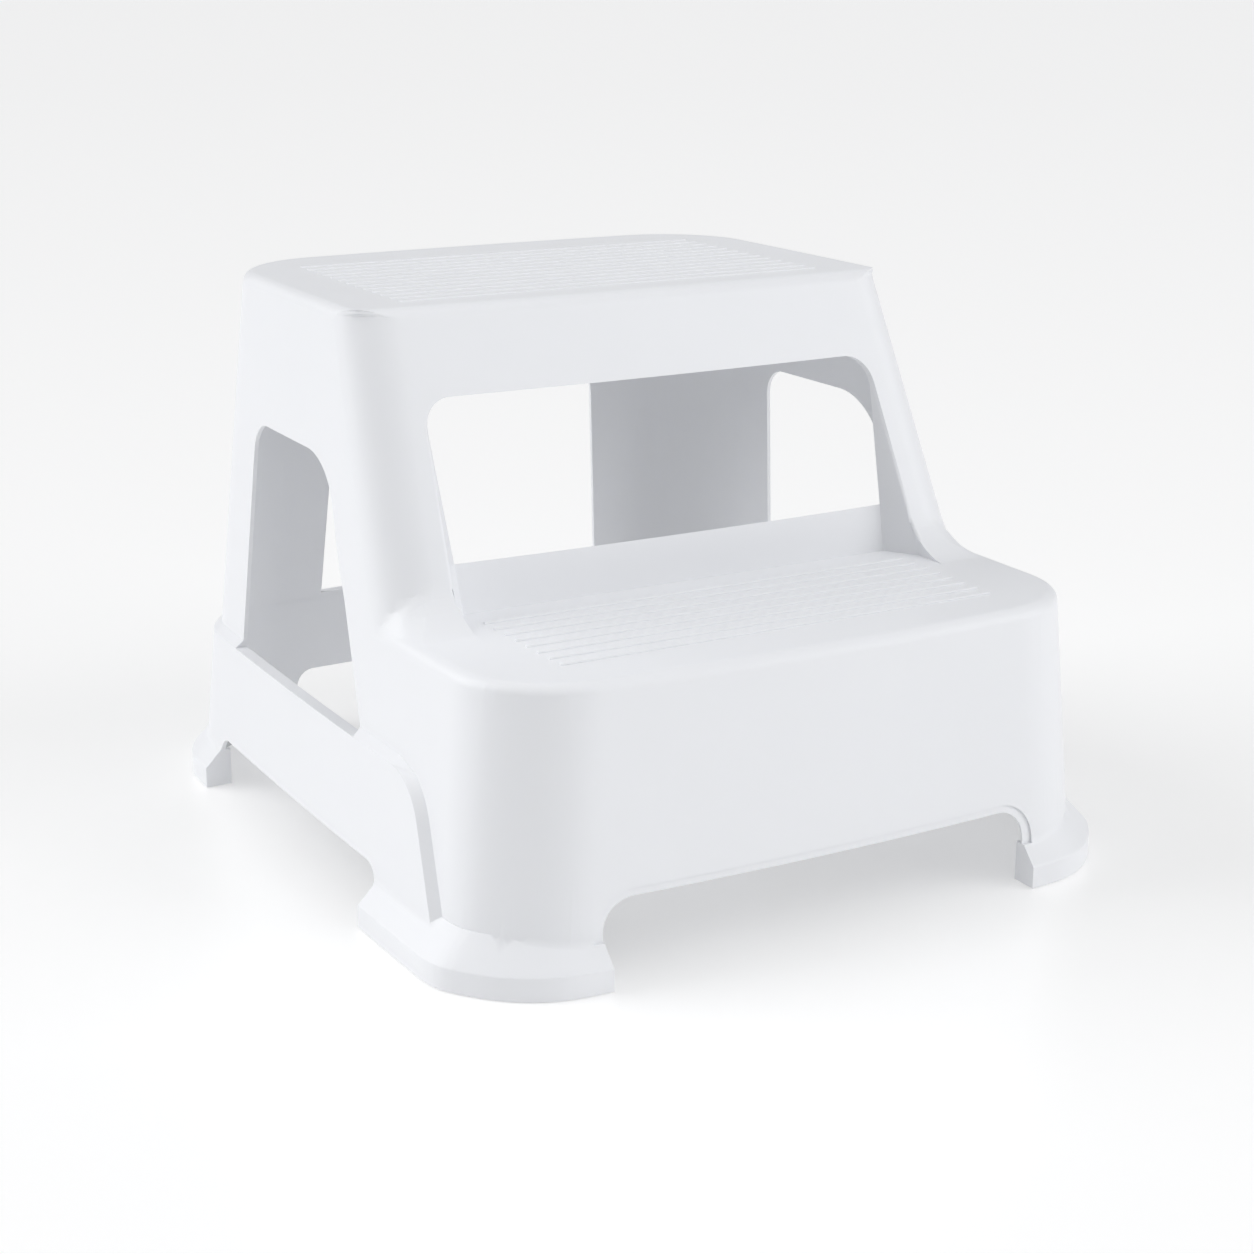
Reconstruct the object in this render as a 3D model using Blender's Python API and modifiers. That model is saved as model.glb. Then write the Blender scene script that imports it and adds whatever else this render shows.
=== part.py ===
"""A two-step moulded plastic step stool: one ribbed, windowed shell on four rubber foot pads.

Metres, +Z up. The stool faces -Y, is symmetric about X = 0, and stands on Z = 0 with its
origin under the middle of its footprint.
"""

import math

import bmesh
import bpy
from mathutils import Vector

# Overall heights: two equal rises.
TOP_Z = 0.390
TREAD_Z = 0.195
WALL = 0.003
FLOOR_GAP = 0.0006  # the pads carry the stool, so the shell ends just above the floor

# Wall planes: a distance from the axes at floor level, and the draft as run over rise.
SIDE_AT_FLOOR = 0.2416
SIDE_DRAFT = 0.0775
FRONT_AT_FLOOR = 0.2751
FRONT_DRAFT = 0.0685
BACK_AT_FLOOR = 0.2710
BACK_DRAFT = 0.0926
FACE_Y_AT_TREAD = -0.1172
FACE_SLOPE = 0.4717

# Rounded corners in plan, and rounded edges along the treads.
STEP_CORNER_R = 0.066
BACK_CORNER_R = 0.070
TOWER_CORNER_R = 0.024
EDGE_R = 0.008
COVE_R = 0.030

# Every long wall bows outwards a little, so the warp at the end bends the straight build.
FRONT_BOW = 0.0063
FRONT_BOW_REACH = 0.186
FRONT_BOW_BLEND = 0.08
SIDE_BOW = 0.0061
SIDE_BOW_REACH = 0.279
SIDE_BOW_CENTRE_Y = -0.058
CENTRE_SHIFT = -0.0014  # brings the footprint's middle to Y = 0

# Apron: a band round the sides and the back that stands proud of the legs.
APRON_PROUD = 0.006
APRON_TOP_Z = 0.1157
APRON_SLOPE_RUN = 0.0070
APRON_FRONT_Y = -0.1623
APRON_FRONT_LEAN = 0.45
APRON_FRONT_R = 0.046

# Foot flange: a vertical band with a 45 degree top, left standing only at the corners.
FLANGE_PROUD = 0.0106
BAND_Z = 0.0168

# Front window, with the line from its header down to the rear edge of the lower tread.
WINDOW_TOP_Z = 0.3337
WINDOW_TOP_HALF = 0.1805
WINDOW_BOTTOM_HALF = 0.1860
WINDOW_R = 0.020
TREAD_REAR_Y = -0.0938
RETURN_REAR_HALF = 0.1770
RETURN_TOP_Z = 0.3085

# Side and rear windows share the apron's top as their sill.
SIDE_WINDOW_TOP_Z = 0.2884
SIDE_WINDOW_FRONT_Y = -0.0739
SIDE_WINDOW_BACK_Y = 0.1508
SIDE_WINDOW_BACK_LEAN = 0.067
SIDE_WINDOW_FRONT_R = 0.054
SIDE_WINDOW_BACK_R = 0.023
REAR_WINDOW_HALF = 0.1272
REAR_WINDOW_LEAN = 0.079
REAR_WINDOW_R = 0.030

# Arches between the feet.
FRONT_ARCH_Z = 0.0553
FRONT_ARCH_HALF = 0.1640
FRONT_ARCH_R = 0.022
SIDE_ARCH_Z = 0.0405
SIDE_ARCH_FRONT_Y = -0.1195
SIDE_ARCH_BACK_Y = 0.1750
SIDE_ARCH_R = 0.016
REAR_ARCH_Z = 0.0490
REAR_ARCH_HALF = 0.1460
REAR_ARCH_R = 0.014
FOOT_WEB_DEPTH = 0.020
RIM_WIDE = 0.0075
RIM_DEEP = 0.0012

# Raised grip ribs on the treads.
GRIP_HALF = 0.1690
GRIP_WIDTH = 0.0034
GRIP_HEIGHT = 0.0010
LOWER_GRIP_FIRST_Y = -0.1193
LOWER_GRIP_PITCH = 0.0146
LOWER_GRIPS = 8
UPPER_GRIP_FIRST_Y = 0.0023
UPPER_GRIP_PITCH = 0.0150
UPPER_GRIPS = 13

# Stiffening webs under the treads.
WEB_THICK = 0.0022
WEB_DEEP = 0.014
WEB_PITCH = 0.048

# Foot pads, pressed up into the channel behind each band.
PAD_FIT = 0.0003
PAD_WIDE = 0.0125
PAD_TALL = 0.0105

MOST_BEVEL = 0.030
CORNER_STEPS = 7


def side_x(z):
    return SIDE_AT_FLOOR - SIDE_DRAFT * z


def front_y(z):
    return -(FRONT_AT_FLOOR - FRONT_DRAFT * z)


def back_y(z):
    return BACK_AT_FLOOR - BACK_DRAFT * z


def face_y(z):
    return FACE_Y_AT_TREAD + FACE_SLOPE * (z - TREAD_Z)


def near(a, b):
    return abs(a - b) < 1e-5


# ---------------------------------------------------------------- scene helpers


def clear_scene():
    for thing in list(bpy.data.objects):
        bpy.data.objects.remove(thing)


def new_collection(name):
    group = bpy.data.collections.new(name)
    bpy.context.scene.collection.children.link(group)
    return group


def add_object(name, mesh_source, group):
    """An object from a bmesh, its normals turned outwards."""
    bmesh.ops.recalc_face_normals(mesh_source, faces=mesh_source.faces)
    mesh = bpy.data.meshes.new(name)
    mesh_source.to_mesh(mesh)
    mesh_source.free()
    made = bpy.data.objects.new(name, mesh)
    group.objects.link(made)
    return made


def as_cutter(thing):
    thing.hide_render = True
    thing.display_type = "WIRE"
    return thing


def flatten_faces(thing):
    """Splits every face into triangles, since a Boolean needs flat faces."""
    body = bmesh.new()
    body.from_mesh(thing.data)
    bmesh.ops.triangulate(body, faces=body.faces)
    body.to_mesh(thing.data)
    body.free()


def combine(target, other, operation):
    flatten_faces(target)
    flatten_faces(other)
    modifier = target.modifiers.new(other.name, "BOOLEAN")
    modifier.operation = operation
    modifier.object = other
    modifier.solver = "EXACT"
    as_cutter(other)


def bake(thing):
    """Replaces an object's mesh by what its modifiers make of it."""
    bpy.context.view_layer.update()
    graph = bpy.context.evaluated_depsgraph_get()
    mesh = bpy.data.meshes.new_from_object(thing.evaluated_get(graph))
    thing.modifiers.clear()
    thing.data = mesh


def plastic(name, colour, roughness):
    material = bpy.data.materials.new(name)
    material.use_nodes = True
    shader = material.node_tree.nodes["Principled BSDF"]
    shader.inputs["Base Color"].default_value = (*colour, 1.0)
    shader.inputs["Roughness"].default_value = roughness
    shader.inputs["Metallic"].default_value = 0.0
    return material


# ---------------------------------------------------------------- solids


def stack_rings(rings):
    """A closed bmesh through rings of points, each ring in the same order."""
    body = bmesh.new()
    loops = [[body.verts.new(point) for point in ring] for ring in rings]
    count = len(loops[0])
    for lower, upper in zip(loops, loops[1:]):
        for i in range(count):
            j = (i + 1) % count
            body.faces.new((lower[i], lower[j], upper[j], upper[i]))
    body.faces.new(loops[0][::-1])
    body.faces.new(loops[-1])
    return body


def box(low, high):
    corners = [(low[0], low[1]), (high[0], low[1]), (high[0], high[1]), (low[0], high[1])]
    return stack_rings([[(x, y, z) for x, y in corners] for z in (low[2], high[2])])


def rounded(outline, radii, steps=CORNER_STEPS):
    """A flat outline with an arc of the given radius at each corner, or none for 0."""
    points = []
    count = len(outline)
    for i, (corner, radius) in enumerate(zip(outline, radii)):
        here = Vector(corner)
        if not radius:
            points.append(here)
            continue
        back = (Vector(outline[i - 1]) - here).normalized()
        ahead = (Vector(outline[(i + 1) % count]) - here).normalized()
        half = 0.5 * back.angle(ahead)
        centre = here + (back + ahead).normalized() * radius / math.sin(half)
        first = here + back * radius / math.tan(half) - centre
        last = here + ahead * radius / math.tan(half) - centre
        turn = first.angle_signed(last)
        for step in range(steps + 1):
            angle = -turn * step / steps
            cos, sin = math.cos(angle), math.sin(angle)
            arm = Vector((first.x * cos - first.y * sin, first.x * sin + first.y * cos))
            points.append(centre + arm)
    return points


def round_edges(body, chosen, reach, steps=CORNER_STEPS):
    """Bevels the edges for which chosen(a, b) holds of their two ends."""
    edges = [edge for edge in body.edges if chosen(edge.verts[0].co, edge.verts[1].co)]
    bmesh.ops.bevel(
        body,
        geom=edges,
        offset=reach,
        offset_type="OFFSET",
        segments=steps,
        profile=0.5,
        affect="EDGES",
        clamp_overlap=False,
    )


def same_side(a, b):
    """True for an edge that runs up a corner and not across the stool."""
    return a.x * b.x > 0 and near_side(a, b)


def near_side(a, b):
    return abs(abs(a.x) - abs(b.x)) < 0.04


def mark_soft_edges(body, inset, floor):
    """Stores each upper edge's rounding as a share of MOST_BEVEL."""
    top = TOP_Z - inset
    tread = TREAD_Z - inset
    foot = face_y(TREAD_Z) + inset
    weights = body.edges.layers.float.new("bevel_weight_edge")
    for edge in body.edges:
        a, b = (vert.co for vert in edge.verts)
        high, low = max(a.z, b.z), min(a.z, b.z)
        radius = 0.0
        if near(low, top):
            radius = EDGE_R - inset
        elif near(low, tread) and near(high, tread):
            across = near(a.y, foot) and near(b.y, foot)
            radius = COVE_R if across else EDGE_R - inset
        elif near(low, tread) and near(high, top) and a.x * b.x > 0:
            radius = TOWER_CORNER_R - inset
        if low > floor and radius:
            edge[weights] = radius / MOST_BEVEL


def stepped_block(name, inset, floor, group):
    """Tower and lower step in one, with its corners and tread edges rounded."""
    top = TOP_Z - inset
    tread = TREAD_Z - inset
    profile = [
        (front_y(floor) + inset, floor),
        (front_y(tread) + inset, tread),
        (face_y(TREAD_Z) + inset, tread),
        (face_y(top) + inset, top),
        (back_y(top) - inset, top),
        (back_y(floor) - inset, floor),
    ]
    rings = [[(s * (side_x(z) - inset), y, z) for y, z in profile] for s in (-1, 1)]
    body = stack_rings(rings)
    front, back = front_y(0) + 0.03, back_y(TOP_Z) - 0.01
    round_edges(
        body,
        lambda a, b: same_side(a, b) and max(a.y, b.y) < front and abs(a.z - b.z) > 0.1,
        STEP_CORNER_R - inset,
    )
    round_edges(
        body,
        lambda a, b: same_side(a, b) and min(a.y, b.y) > back and abs(a.z - b.z) > 0.1,
        BACK_CORNER_R - inset,
    )
    mark_soft_edges(body, inset, floor)
    made = add_object(name, body, group)
    soften = made.modifiers.new("soft_edges", "BEVEL")
    soften.limit_method = "WEIGHT"
    soften.width = MOST_BEVEL
    soften.segments = 5
    soften.use_clamp_overlap = False
    bake(made)
    return made


def apron_front(z, grown=0.0):
    """Where the apron's rounded, leaning front end lies at height z, its outline grown."""
    length = math.hypot(1.0, APRON_FRONT_LEAN)
    radius = APRON_FRONT_R + grown
    # The arc's centre lies on the line that halves the angle of the corner.
    reach = APRON_FRONT_R * (length + APRON_FRONT_LEAN) - APRON_FRONT_LEAN * APRON_FRONT_R
    centre_z = APRON_TOP_Z - APRON_FRONT_R
    centre_y = APRON_FRONT_Y - APRON_FRONT_LEAN * APRON_FRONT_R + reach
    tangent_z = centre_z + radius * APRON_FRONT_LEAN / length
    if z < tangent_z:
        return centre_y - radius / length + APRON_FRONT_LEAN * (z - tangent_z)
    return centre_y - math.sqrt(max(radius**2 - (z - centre_z) ** 2, 0.0))


def apron_ring(z, proud, sunk, front, inner_front):
    """A plan outline: proud of the walls at its sides, and sunk below them at its front."""
    outer = side_x(z) + proud
    inner = side_x(z) - sunk
    rear = back_y(z) + proud
    radius = BACK_CORNER_R + proud
    outline = [
        (-outer, front),
        (-inner, inner_front),
        (inner, inner_front),
        (outer, front),
        (outer, rear),
        (-outer, rear),
    ]
    return [(x, y, z) for x, y in rounded(outline, (0, 0, 0, 0, radius, radius))]


def apron_block(name, inset, floor, group):
    """The apron's form. Outside, its sloped top and front ends die into the legs."""
    proud = APRON_PROUD - inset
    sunk = inset + 0.001
    run = 0.0 if inset else APRON_SLOPE_RUN
    top = APRON_TOP_Z - inset
    centre_z = APRON_TOP_Z - APRON_FRONT_R
    heights = [floor]
    for i in range(6):
        turn = math.radians(24.2 + (90.0 - 24.2) * i / 6)
        heights.append(centre_z + (top - centre_z) * math.sin(turn))
    heights.append(top)
    rings = []
    for z in heights:
        ends = apron_front(z, -inset), apron_front(z, run - inset) - 0.0005
        rings.append(apron_ring(z, proud, sunk, *ends))
    if run:
        front = apron_front(top + run, run)
        rings.append(apron_ring(top + run, -0.0008, sunk, front, front - 0.001))
    return add_object(name, stack_rings(rings), group)


def flange_ring(z, beyond):
    x = side_x(0) + APRON_PROUD + beyond
    front = front_y(0) - beyond
    rear = back_y(0) + APRON_PROUD + beyond
    outline = [(-x, front), (x, front), (x, rear), (-x, rear)]
    fore, aft = STEP_CORNER_R + beyond, BACK_CORNER_R + APRON_PROUD + beyond
    return [(u, v, z) for u, v in rounded(outline, (fore, fore, aft, aft), 10)]


def flange_block(name, inset, floor, group):
    """The foot flange all the way round: a vertical band with a 45 degree slope on top."""
    beyond = FLANGE_PROUD - inset
    high = BAND_Z - 0.4 * inset
    slope = 0.019
    rings = [flange_ring(floor, beyond), flange_ring(high, beyond)]
    rings.append(flange_ring(high + slope, beyond - slope))
    return add_object(name, stack_rings(rings), group)


def prism(name, outline, radii, axis, start, end, group):
    """A flat rounded outline swept along X or Y. The ends may lean: depth = at + lean * z."""

    def place(point, end_plane):
        at, lean = end_plane
        depth = at + lean * point.y
        return (depth, point.x, point.y) if axis == "x" else (point.x, depth, point.y)

    points = rounded(outline, radii, 6)
    ends = (start, end) if start[0] < end[0] else (end, start)
    body = stack_rings([[place(point, plane) for point in points] for plane in ends])
    return as_cutter(add_object(name, body, group))


# ---------------------------------------------------------------- the shell


def hull_solid(name, inset, floor, group):
    """The stool as one block: outside with no inset, inside when inset by the wall.

    The flange fills the whole plan at the floor, so the other two blocks start inside it.
    """
    made = stepped_block(name, inset, 0.008, group)
    combine(made, apron_block(name + "_apron", inset, 0.0095, group), "UNION")
    combine(made, flange_block(name + "_flange", inset, floor, group), "UNION")
    bake(made)
    return made


def tread_shelf(group):
    """The rear of the lower tread, which runs on behind the sloping face."""
    half = RETURN_REAR_HALF + WALL
    front, rear = face_y(TREAD_Z) - 0.036, TREAD_REAR_Y + 0.008
    outline = [(-half - 0.01, front), (half + 0.01, front), (half, rear), (-half, rear)]
    rings = [[(x, y, z) for x, y in outline] for z in (TREAD_Z - WALL, TREAD_Z)]
    return add_object("shelf", stack_rings(rings), group)


def shelf_trim(group):
    """Leaves the tread a straight rear edge."""
    low = (-0.2, TREAD_REAR_Y, TREAD_Z - 0.005)
    return add_object("shelf_trim", box(low, (0.2, TREAD_REAR_Y + 0.03, TREAD_Z + 0.001)), group)


def window_return(name, side, group):
    """A thin wall beside the window, from the face back to the tread's rear edge."""
    high, low = RETURN_TOP_Z, TREAD_Z - 0.5 * WALL
    rows = []
    for z, half, depth in ((low, WINDOW_BOTTOM_HALF, 1.0), (high, WINDOW_TOP_HALF, 0.0)):
        front = face_y(z) + 0.0012 + CENTRE_SHIFT
        rear = front + 0.002 + depth * (TREAD_REAR_Y - front - 0.0025)
        inner = half + depth * (RETURN_REAR_HALF - half)
        rows.append(
            [
                (side * half, front, z),
                (side * (half + WALL), front, z),
                (side * (inner + WALL), rear, z),
                (side * inner, rear, z),
            ]
        )
    return add_object(name, stack_rings(rows), group)


def front_window(group):
    outline = [
        (-WINDOW_BOTTOM_HALF, TREAD_Z),
        (WINDOW_BOTTOM_HALF, TREAD_Z),
        (WINDOW_TOP_HALF, WINDOW_TOP_Z),
        (-WINDOW_TOP_HALF, WINDOW_TOP_Z),
    ]
    radii = (0, 0, WINDOW_R, WINDOW_R)
    return prism("front_window", outline, radii, "y", (-0.16, 0), (0.06, 0), group)


def side_window(group):
    rise = SIDE_WINDOW_TOP_Z - APRON_TOP_Z
    outline = [
        (SIDE_WINDOW_FRONT_Y, APRON_TOP_Z),
        (SIDE_WINDOW_BACK_Y, APRON_TOP_Z),
        (SIDE_WINDOW_BACK_Y - SIDE_WINDOW_BACK_LEAN * rise, SIDE_WINDOW_TOP_Z),
        (SIDE_WINDOW_FRONT_Y + APRON_FRONT_LEAN * rise, SIDE_WINDOW_TOP_Z),
    ]
    radii = (0, 0, SIDE_WINDOW_BACK_R, SIDE_WINDOW_FRONT_R)
    return prism("side_windows", outline, radii, "x", (-0.3, 0), (0.3, 0), group)


def rear_window(group):
    rise = SIDE_WINDOW_TOP_Z - APRON_TOP_Z
    top = REAR_WINDOW_HALF - REAR_WINDOW_LEAN * rise
    outline = [
        (-REAR_WINDOW_HALF, APRON_TOP_Z),
        (REAR_WINDOW_HALF, APRON_TOP_Z),
        (top, SIDE_WINDOW_TOP_Z),
        (-top, SIDE_WINDOW_TOP_Z),
    ]
    radii = (0, 0, REAR_WINDOW_R, REAR_WINDOW_R)
    return prism("rear_window", outline, radii, "y", (0.15, 0), (0.35, 0), group)


def arch(name, low, high, top, radius, axis, start, end, group, floor=-0.02):
    outline = [(low, floor), (high, floor), (high, top), (low, top)]
    return prism(name, outline, (0, 0, radius, radius), axis, start, end, group)


def arches(group):
    """Cutters for the gaps between the feet."""
    front, rear = FRONT_ARCH_HALF, REAR_ARCH_HALF
    fore, aft = SIDE_ARCH_FRONT_Y, SIDE_ARCH_BACK_Y
    out, inward = (0.35, 0), (0.2, 0)
    return [
        arch("front_arch", -front, front, FRONT_ARCH_Z, FRONT_ARCH_R, "y", (-0.35, 0), (-0.2, 0), group),
        arch("rear_arch", -rear, rear, REAR_ARCH_Z, REAR_ARCH_R, "y", inward, out, group),
        arch("left_arch", fore, aft, SIDE_ARCH_Z, SIDE_ARCH_R, "x", (-0.35, 0), (-0.2, 0), group),
        arch("right_arch", fore, aft, SIDE_ARCH_Z, SIDE_ARCH_R, "x", inward, out, group),
    ]


def arch_rims(group):
    """Cutters for a shallow recess round the front, side and rear arches, above the feet."""
    half = FRONT_ARCH_HALF + RIM_WIDE
    top = FRONT_ARCH_Z + RIM_WIDE - 0.002
    floor = BAND_Z + FLANGE_PROUD + 0.001
    front = (front_y(0) + RIM_DEEP, FRONT_DRAFT)
    radius = FRONT_ARCH_R + RIM_WIDE
    cutters = [
        arch("front_rim", -half, half, top, radius, "y", (-0.35, 0), front, group, floor)
    ]
    half = REAR_ARCH_HALF + RIM_WIDE
    top = REAR_ARCH_Z + RIM_WIDE - 0.002
    rear = (back_y(0) + APRON_PROUD - RIM_DEEP, -BACK_DRAFT)
    radius = REAR_ARCH_R + RIM_WIDE
    cutters.append(arch("rear_rim", -half, half, top, radius, "y", rear, (0.35, 0), group, floor))
    return cutters


def foot_webs(group):
    """Blocks kept solid at both ends of each foot, so that its channel is closed."""
    flange_x = side_x(0) + APRON_PROUD + FLANGE_PROUD
    flange_front = -front_y(0) + FLANGE_PROUD
    flange_rear = back_y(0) + APRON_PROUD + FLANGE_PROUD
    ends = []
    for side in (-1, 1):
        for half, rear in ((FRONT_ARCH_HALF, -flange_front), (REAR_ARCH_HALF, flange_rear)):
            xs = sorted((side * (half - 0.002), side * (half + WALL)))
            depth = math.copysign(FOOT_WEB_DEPTH, rear)
            ys = sorted((rear * 1.1, rear - depth))
            ends.append(((xs[0], ys[0]), (xs[1], ys[1])))
        xs = sorted((side * (flange_x + 0.02), side * (flange_x - FOOT_WEB_DEPTH)))
        ends.append(((xs[0], SIDE_ARCH_FRONT_Y - WALL), (xs[1], SIDE_ARCH_FRONT_Y + 0.002)))
        ends.append(((xs[0], SIDE_ARCH_BACK_Y - 0.002), (xs[1], SIDE_ARCH_BACK_Y + WALL)))
    blocks = bmesh.new()
    for low, high in ends:
        block = box((*low, -0.02), (*high, BAND_Z + 0.012))
        mesh = bpy.data.meshes.new("web")
        block.to_mesh(mesh)
        block.free()
        blocks.from_mesh(mesh)
        bpy.data.meshes.remove(mesh)
    return add_object("foot_webs", blocks, group)


def add_boxes(name, boxes, group):
    joined = bmesh.new()
    for low, high in boxes:
        one = box(low, high)
        mesh = bpy.data.meshes.new("box")
        one.to_mesh(mesh)
        one.free()
        joined.from_mesh(mesh)
        bpy.data.meshes.remove(mesh)
    return add_object(name, joined, group)


def grip_ribs(group):
    """Raised lines on both treads."""
    rows = [(LOWER_GRIP_FIRST_Y - LOWER_GRIP_PITCH * i, TREAD_Z) for i in range(LOWER_GRIPS)]
    rows += [(UPPER_GRIP_FIRST_Y + UPPER_GRIP_PITCH * i, TOP_Z) for i in range(UPPER_GRIPS)]
    half = 0.5 * GRIP_WIDTH
    boxes = []
    for at, z in rows:
        y = at + CENTRE_SHIFT
        boxes.append(((-GRIP_HALF, y - half, z - 0.001), (GRIP_HALF, y + half, z + GRIP_HEIGHT)))
    return add_boxes("grip_ribs", boxes, group)


def tread_webs(group):
    """Stiffening webs under each tread, as two crossing sets of plates."""
    half = 0.5 * WEB_THICK
    sets = {"webs_along": [], "webs_across": []}
    spans = (
        (TOP_Z, 0.200, face_y(TOP_Z) + 0.012, back_y(TOP_Z) - 0.012),
        (TREAD_Z, 0.218, front_y(TREAD_Z) + 0.012, TREAD_REAR_Y - 0.006),
    )
    for z, reach, fore, aft in spans:
        low, high = z - WALL - WEB_DEEP, z - 0.6 * WALL
        for i in range(-3, 4):
            x = i * WEB_PITCH
            sets["webs_along"].append(((x - half, fore, low), (x + half, aft, high)))
        count = int((aft - fore) / WEB_PITCH)
        for i in range(1, count + 1):
            y = fore + (aft - fore) * i / (count + 1)
            sets["webs_across"].append(((-reach, y - half, low), (reach, y + half, high)))
    return [add_boxes(name, boxes, group) for name, boxes in sets.items()]


def bow(point):
    """Where the straight build's point goes once the walls bow outwards."""
    front_share = math.tanh(point.y / FRONT_BOW_BLEND) * (1 - (point.x / FRONT_BOW_REACH) ** 2)
    side_share = 1 - ((point.y - SIDE_BOW_CENTRE_Y) / SIDE_BOW_REACH) ** 2
    x = point.x + SIDE_BOW * side_share * point.x / SIDE_AT_FLOOR
    return Vector((x, point.y + FRONT_BOW * front_share + CENTRE_SHIFT, point.z))


def bend(thing):
    """Splits long faces and bows the mesh outwards."""
    body = bmesh.new()
    body.from_mesh(thing.data)
    for axis, reach, count in (((1, 0, 0), 0.186, 7), ((0, 1, 0), 0.2, 5)):
        for i in range(count):
            at = -reach + 2 * reach * i / (count - 1)
            bmesh.ops.bisect_plane(
                body,
                geom=body.verts[:] + body.edges[:] + body.faces[:],
                plane_co=tuple(at * part for part in axis),
                plane_no=axis,
                dist=1e-6,
            )
    for vert in body.verts:
        vert.co = bow(vert.co)
    bmesh.ops.triangulate(body, faces=body.faces)
    body.to_mesh(thing.data)
    body.free()


def finish(thing, material):
    thing.data.materials.clear()
    thing.data.materials.append(material)
    thing.data.shade_smooth()
    thing.data.set_sharp_from_angle(angle=math.radians(30))


def moulded_shell(parts, cutters, material):
    shell = hull_solid("moulded_shell", 0.0, FLOOR_GAP, parts)
    hollow = hull_solid("hollow", WALL, -0.01, cutters)
    combine(hollow, tread_shelf(cutters), "DIFFERENCE")
    combine(hollow, foot_webs(cutters), "DIFFERENCE")
    bake(hollow)
    combine(shell, hollow, "DIFFERENCE")
    for webs in tread_webs(cutters):
        combine(shell, webs, "UNION")
    combine(shell, side_window(cutters), "DIFFERENCE")
    combine(shell, rear_window(cutters), "DIFFERENCE")
    for cutter in arch_rims(cutters) + arches(cutters):
        combine(shell, cutter, "DIFFERENCE")
    bake(shell)
    bend(shell)
    # What is straight on the real stool is made after the walls are bowed.
    combine(shell, front_window(cutters), "DIFFERENCE")
    combine(shell, shelf_trim(cutters), "DIFFERENCE")
    for side, name in ((-1, "left_return"), (1, "right_return")):
        combine(shell, window_return(name, side, cutters), "UNION")
    combine(shell, grip_ribs(cutters), "UNION")
    bake(shell)
    finish(shell, material)
    return shell


# ---------------------------------------------------------------- the pads


def foot_pad(name, side, end, parts, cutters, material):
    """An L-shaped rubber pad that follows the inside of one foot's band."""
    outside = WALL + PAD_FIT
    inside = outside + PAD_WIDE
    pad = flange_block(name, outside, -0.01, parts)
    core = flange_block(name + "_core", inside, -0.02, cutters)
    combine(pad, core, "DIFFERENCE")
    arch_x = FRONT_ARCH_HALF if end == "front" else REAR_ARCH_HALF
    arch_y = SIDE_ARCH_FRONT_Y if end == "front" else SIDE_ARCH_BACK_Y
    clear = WALL + PAD_FIT
    xs = sorted((side * (arch_x + clear), side * 0.4))
    ys = sorted((arch_y + math.copysign(clear, arch_y), math.copysign(0.4, arch_y)))
    extent = box((xs[0], ys[0], 0.0), (xs[1], ys[1], PAD_TALL))
    corner = add_object(name + "_corner", extent, cutters)
    combine(pad, corner, "INTERSECT")
    bake(pad)
    bend(pad)
    finish(pad, material)
    return pad


def main():
    clear_scene()
    parts = new_collection("step_stool")
    cutters = new_collection("step_stool_cutters")
    cutters.hide_render = True
    white = plastic("white_plastic", (0.86, 0.87, 0.88), 0.42)
    rubber = plastic("pad_rubber", (0.62, 0.63, 0.64), 0.75)
    moulded_shell(parts, cutters, white)
    for end in ("front", "rear"):
        for side, hand in ((-1, "left"), (1, "right")):
            foot_pad(f"{end}_{hand}_foot_pad", side, end, parts, cutters, rubber)


main()
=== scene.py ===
"""A two-step moulded plastic step stool, built as a Blender add-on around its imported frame.

Metres, +Z up. The stool faces -Y, is symmetric about X = 0 and stands on Z = 0.
"""

import math

import bmesh
import bpy
from bpy.props import FloatProperty, FloatVectorProperty, IntProperty, PointerProperty
from mathutils import Euler, Matrix, Vector


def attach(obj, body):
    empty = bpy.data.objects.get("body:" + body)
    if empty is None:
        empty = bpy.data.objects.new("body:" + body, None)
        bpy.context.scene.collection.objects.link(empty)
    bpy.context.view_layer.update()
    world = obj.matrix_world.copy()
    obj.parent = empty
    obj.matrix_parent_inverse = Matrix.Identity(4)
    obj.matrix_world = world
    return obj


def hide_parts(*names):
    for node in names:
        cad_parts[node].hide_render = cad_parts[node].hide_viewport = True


bl_info = {
    "name": "Moulded step stool",
    "version": (1, 0, 0),
    "blender": (4, 5, 0),
    "location": "3D View > Sidebar > Step stool",
    "description": "Builds a two-step moulded plastic stool, its foot pads and a small studio",
    "category": "Object",
}

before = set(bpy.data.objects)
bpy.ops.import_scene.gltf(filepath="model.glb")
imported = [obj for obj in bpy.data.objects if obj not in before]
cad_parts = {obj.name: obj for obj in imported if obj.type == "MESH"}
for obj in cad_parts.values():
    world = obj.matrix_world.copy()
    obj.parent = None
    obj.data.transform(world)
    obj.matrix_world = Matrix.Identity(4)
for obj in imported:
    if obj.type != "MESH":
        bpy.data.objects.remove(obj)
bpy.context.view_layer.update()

# Heights.
TOP_Z = 0.390
TREAD_Z = 0.195
FLOOR_GAP = 0.0006

# Wall planes: distance from the axes at floor level, and draft as run over rise.
SIDE_AT_FLOOR = 0.2416
SIDE_DRAFT = 0.0775
FRONT_AT_FLOOR = 0.2751
FRONT_DRAFT = 0.0685
BACK_AT_FLOOR = 0.2710
BACK_DRAFT = 0.0926
FACE_Y_AT_TREAD = -0.1172
FACE_SLOPE = 0.4717

# Roundings of the block.
STEP_CORNER_R = 0.066
BACK_CORNER_R = 0.070
TOWER_CORNER_R = 0.032
EDGE_R = 0.008
COVE_R = 0.030
MOST_BEVEL = 0.034
EDGE_STEPS = 10

# Where the blocks that make the hull begin, so that no two floors share a plane.
BLOCK_FLOOR_Z = 0.008
APRON_FLOOR_Z = 0.0095
HOLLOW_FLOOR_Z = -0.01
CUT_FLOOR_Z = -0.02

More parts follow.
